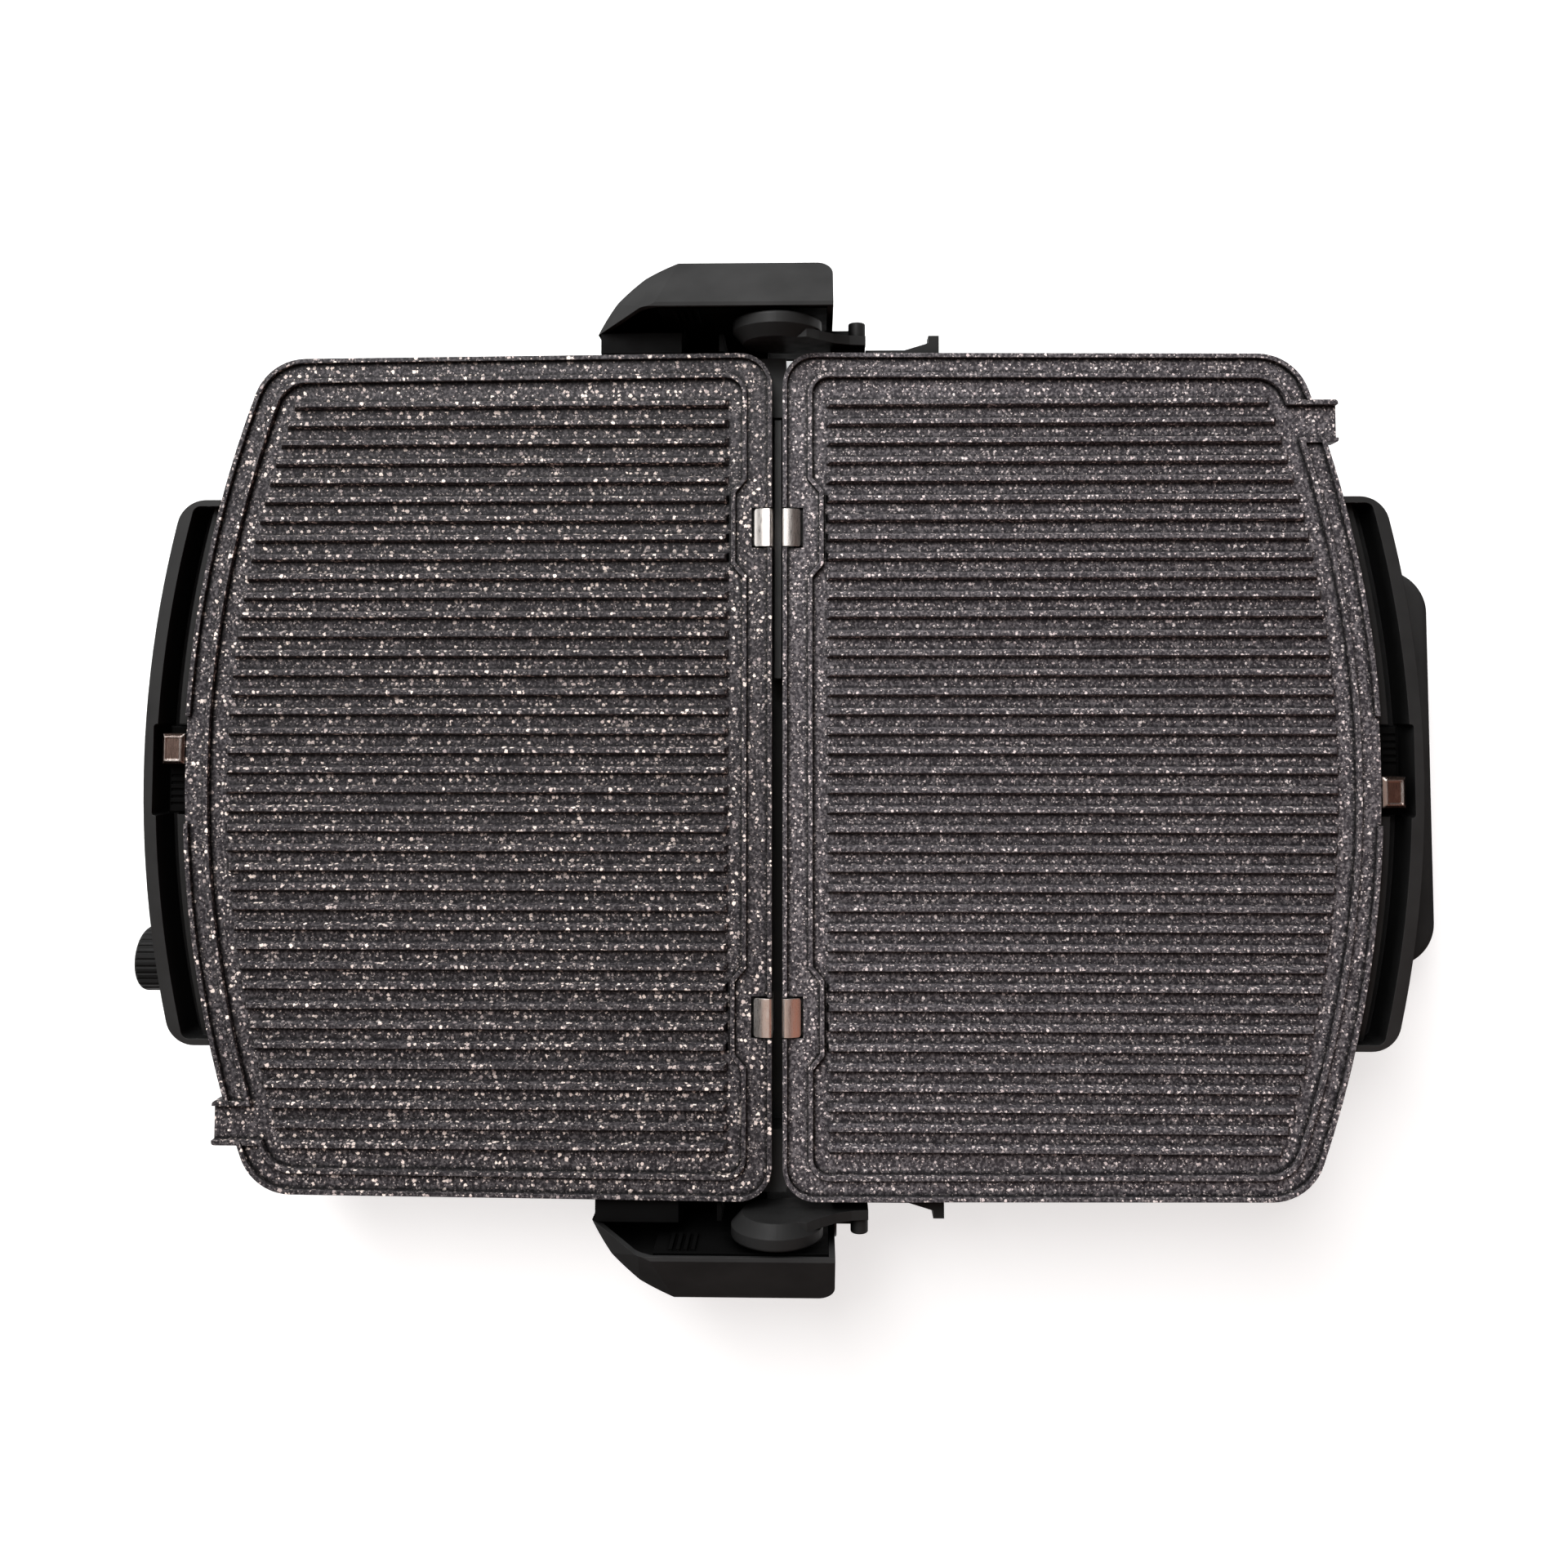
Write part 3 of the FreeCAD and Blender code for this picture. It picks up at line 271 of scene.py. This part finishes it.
# Each material: the function that makes it and that function's values.
RECIPES = {
    "coating_base": (speckled_coating, dict(lift=1.15, big=0.55, fine=0.56, cream=(0.95, 0.82, 0.74, 1))),
    "coating_lid": (speckled_coating, dict(lift=1.95, big=0.42, fine=0.52, cream=(0.44, 0.40, 0.39, 1))),
    "housing": (moulded_plastic, dict(shade=0.034, sheen=0.5, gloss=0.3, dim=0.8)),
    "panel": (moulded_plastic, dict(shade=0.018, sheen=0.46, gloss=0.2)),
    "tower": (moulded_plastic, dict(shade=0.031, sheen=0.42, gloss=0.0)),
    "glass_fibre": (moulded_plastic, dict(shade=0.017, sheen=0.48, gloss=0.1)),
    "dial_black": (moulded_plastic, dict(shade=0.009, sheen=0.5, gloss=0.1)),
    # Painted shade: the same black moulding made darker for liners, ledges and latch buttons that sit in
    # shadow.
    "painted_shadow_black": (moulded_plastic, dict(shade=0.004, sheen=0.55, gloss=0.03)),
    "polished_steel": (rolled_metal, dict(tint=(0.86, 0.81, 0.77), rough=0.3, wear=0.08,
                                          grain_scale=(300, 3000, 3000))),
    # Painted reflection: the latch catches' steel is tinted brown for the warm surroundings it mirrors,
    # with a painted highlight along its bevelled edges.
    "painted_reflection_steel": (rolled_metal, dict(tint=(0.36, 0.25, 0.21), rough=0.24, wear=0.15,
                                      grain_scale=(300, 3000, 3000),
                                      painted_edge_highlight=(0.95, 0.90, 0.86), edge_reach=0.8 * MM)),
    "bright_steel": (rolled_metal, dict(tint=(0.62, 0.62, 0.63), rough=0.25,
                                        grain_scale=(2500, 400, 2500))),
    "blackened_steel": (rolled_metal, dict(tint=(0.03, 0.03, 0.033), rough=0.45, wear=0.3,
                                           grain_scale=(900, 900, 900))),
    "spring_steel": (rolled_metal, dict(tint=(0.46, 0.46, 0.48), rough=0.22,
                                        grain_scale=(2500, 400, 400))),
    "heater_sheath": (rolled_metal, dict(tint=(0.30, 0.28, 0.26), rough=0.4, wear=0.4,
                                         grain_scale=(700, 700, 700))),
    "reflector_sheet": (rolled_metal, dict(tint=(0.70, 0.70, 0.71), rough=0.3,
                                           grain_scale=(200, 2500, 2500))),
    "foot_rubber": (soft_rubber, {}),
    "lamp_red": (tinted_lens, {}),
    "dial_mark": (pale_moulding, {}),
    "pale_moulding": (pale_moulding, {}),
}
MATERIALS = {name: make(name, **values) for name, (make, values) in RECIPES.items()}

# The nodes of each material. Those not listed are plain black housing mouldings.
FINISHES = {
    "coating_base": ["base_plate"],
    "coating_lid": ["lid_plate"],
    "polished_steel": ["base_rear_clips", "lid_rear_clips"],
    "painted_reflection_steel": ["base_latch_catch", "lid_latch_catch"],
    # Painted reflection and painted highlight on the latch catches.
    "spring_steel": ["base_latch_spring", "lid_latch_spring"],
    "bright_steel": ["thermostat_shaft", "thermostat_bracket", "base_cover_screws", "lid_deck_screws"],
    "blackened_steel": ["hinge_slides", "hinge_pins"],
    "heater_sheath": ["base_heating_element", "lid_heating_element"],
    "reflector_sheet": ["base_reflector", "lid_reflector", "lid_thermal_cutout"],
    "foot_rubber": ["base_feet"],
    "lamp_red": ["indicator_lenses"],
    "dial_mark": ["dial_pointer"],
    "pale_moulding": ["terminal_block", "thermostat_body"],
    "tower": ["tower_shell_left", "tower_shell_right", "handle_grip"],
    "panel": ["base_front_panel", "lid_front_panel"],
    "glass_fibre": ["hinge_arm_left", "hinge_arm_right", "side_hook_left", "side_hook_right"],
    "dial_black": ["dial_knob"],
    # Painted shade: these parts sit in shadow, so they take the darker black.
    "painted_shadow_black": ["tower_liner_left", "tower_liner_right", "tower_ledge_left", "tower_ledge_right",
                     "base_latch_button", "lid_latch_button"],
}


def dress_nodes():
    """Gives every CAD node its material."""
    finish_of = {node: name for name, nodes in FINISHES.items() for node in nodes}
    for node, thing in NODES.items():
        thing.data.materials.clear()
        thing.data.materials.append(MATERIALS[finish_of.get(node, "housing")])


def clear_of(surface, boxes):
    """Mask that is 0 below the boxes and 1 a little way out from their outlines."""
    inward = 4 * MM
    outward = 6 * MM
    across = surface.add("ShaderNodeSeparateXYZ")
    surface.feed(across.inputs[0], surface.place)
    outside = 1.0
    for low, high in boxes:
        clear = 0.0
        for axis in (0, 1):
            centre = (low[axis] + high[axis]) / 2
            reach = (high[axis] - low[axis]) / 2
            away = surface.math("ABSOLUTE", surface.math("SUBTRACT", across.outputs[axis], centre))
            past = surface.mapped(away, reach - inward, reach + outward)
            clear = surface.math("MAXIMUM", clear, past)
        outside = surface.math("MULTIPLY", outside, clear)
    return outside


def floor():
    """Pale floor that glows a little, except where the press stands over it."""
    level = CAD_BOX[0].z - FLOOR_GAP
    corners = [(x * FLOOR_HALF, y * FLOOR_HALF, level) for x, y in ((-1, -1), (1, -1), (1, 1), (-1, 1))]
    mesh = bpy.data.meshes.new("floor")
    mesh.from_pydata(corners, [], [(0, 1, 2, 3)])
    plane = bpy.data.objects.new("floor", mesh)
    bpy.context.collection.objects.link(plane)
    surface = Surface("floor", roughness=0.7, specular_ior_level=0.1)
    tone = surface.blend(surface.patches(0.4, 3), grey(0.59), grey(0.61))
    standing = ("base_shell", "lid_shell", "tower_ledge_left", "tower_ledge_right")
    outside = clear_of(surface, [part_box(node) for node in standing])
    glow = surface.math("MULTIPLY", outside, FLOOR_GLOW)
    mesh.materials.append(surface.finish(base_color=tone, emission_color=tone, emission_strength=glow))


def soft_light(name, place, aim, size, power, tint=(1, 1, 1)):
    """Rectangular softbox that the camera doesn't see. Power is in watts."""
    data = bpy.data.lights.new(name, "AREA")
    data.shape = "RECTANGLE"
    data.size, data.size_y = size
    data.energy = power
    data.color = tint
    lamp = bpy.data.objects.new(name, data)
    lamp.location = place
    lamp.rotation_euler = (Vector(aim) - Vector(place)).to_track_quat("-Z", "Y").to_euler()
    lamp.visible_camera = False
    bpy.context.collection.objects.link(lamp)


def studio():
    """Softboxes towards -X and -Y, dim warm ones towards +X and +Y, and a faint warm sky."""
    soft_light("key", (-1.05, -0.45, 1.25), (0, 0, 0.05), (0.7, 1.5), 44)
    soft_light("overhead", (-0.30, -0.35, 1.6), (-0.30, -0.35, 0), (0.4, 1.4), 2.6)
    soft_light("low_side", (-1.6, 0.0, 0.55), (0, 0, 0.08), (0.6, 1.8), 3)
    soft_light("front_side", (-0.6, -1.7, 0.6), (0, 0, 0.08), (1.6, 1.1), 7)
    soft_light("warm_ceiling", (0.60, -0.35, 1.6), (0.60, -0.35, 0), (0.8, 1.3), 1.6, (1.0, 0.68, 0.55))
    soft_light("warm_wall", (0.85, 1.0, 1.1), (0, 0, 0.05), (1.5, 1.5), 2.4, (1.0, 0.38, 0.24))
    world = bpy.data.worlds.new("studio")
    world.use_nodes = True
    world.node_tree.nodes["Background"].inputs["Color"].default_value = (1.0, 0.93, 0.9, 1)
    world.node_tree.nodes["Background"].inputs["Strength"].default_value = 0.05
    bpy.context.scene.world = world
    bpy.context.scene.view_settings.view_transform = "Standard"


def camera():
    """Looks almost straight down on the open press from near the hinge's middle, with -X up."""
    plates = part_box("base_plate")[1].z
    place = Vector((-0.0252, 0.0143, plates + CAMERA_HEIGHT))
    aim = Vector((-0.0528, 0.0025, plates))
    back = (place - aim).normalized()
    right = Vector((-1, 0, 0)).cross(back).normalized()
    up = back.cross(right)
    data = bpy.data.cameras.new("camera")
    data.lens = FOCAL_LENGTH
    data.shift_y = FRAME_SHIFT
    data.sensor_width = 36.0
    data.clip_start = 0.01
    eye = bpy.data.objects.new("camera", data)
    turn = Matrix((right, up, back)).transposed().to_4x4()
    eye.matrix_world = Matrix.Translation(place) @ turn
    bpy.context.collection.objects.link(eye)
    bpy.context.scene.camera = eye


dress_nodes()
floor()
studio()
camera()
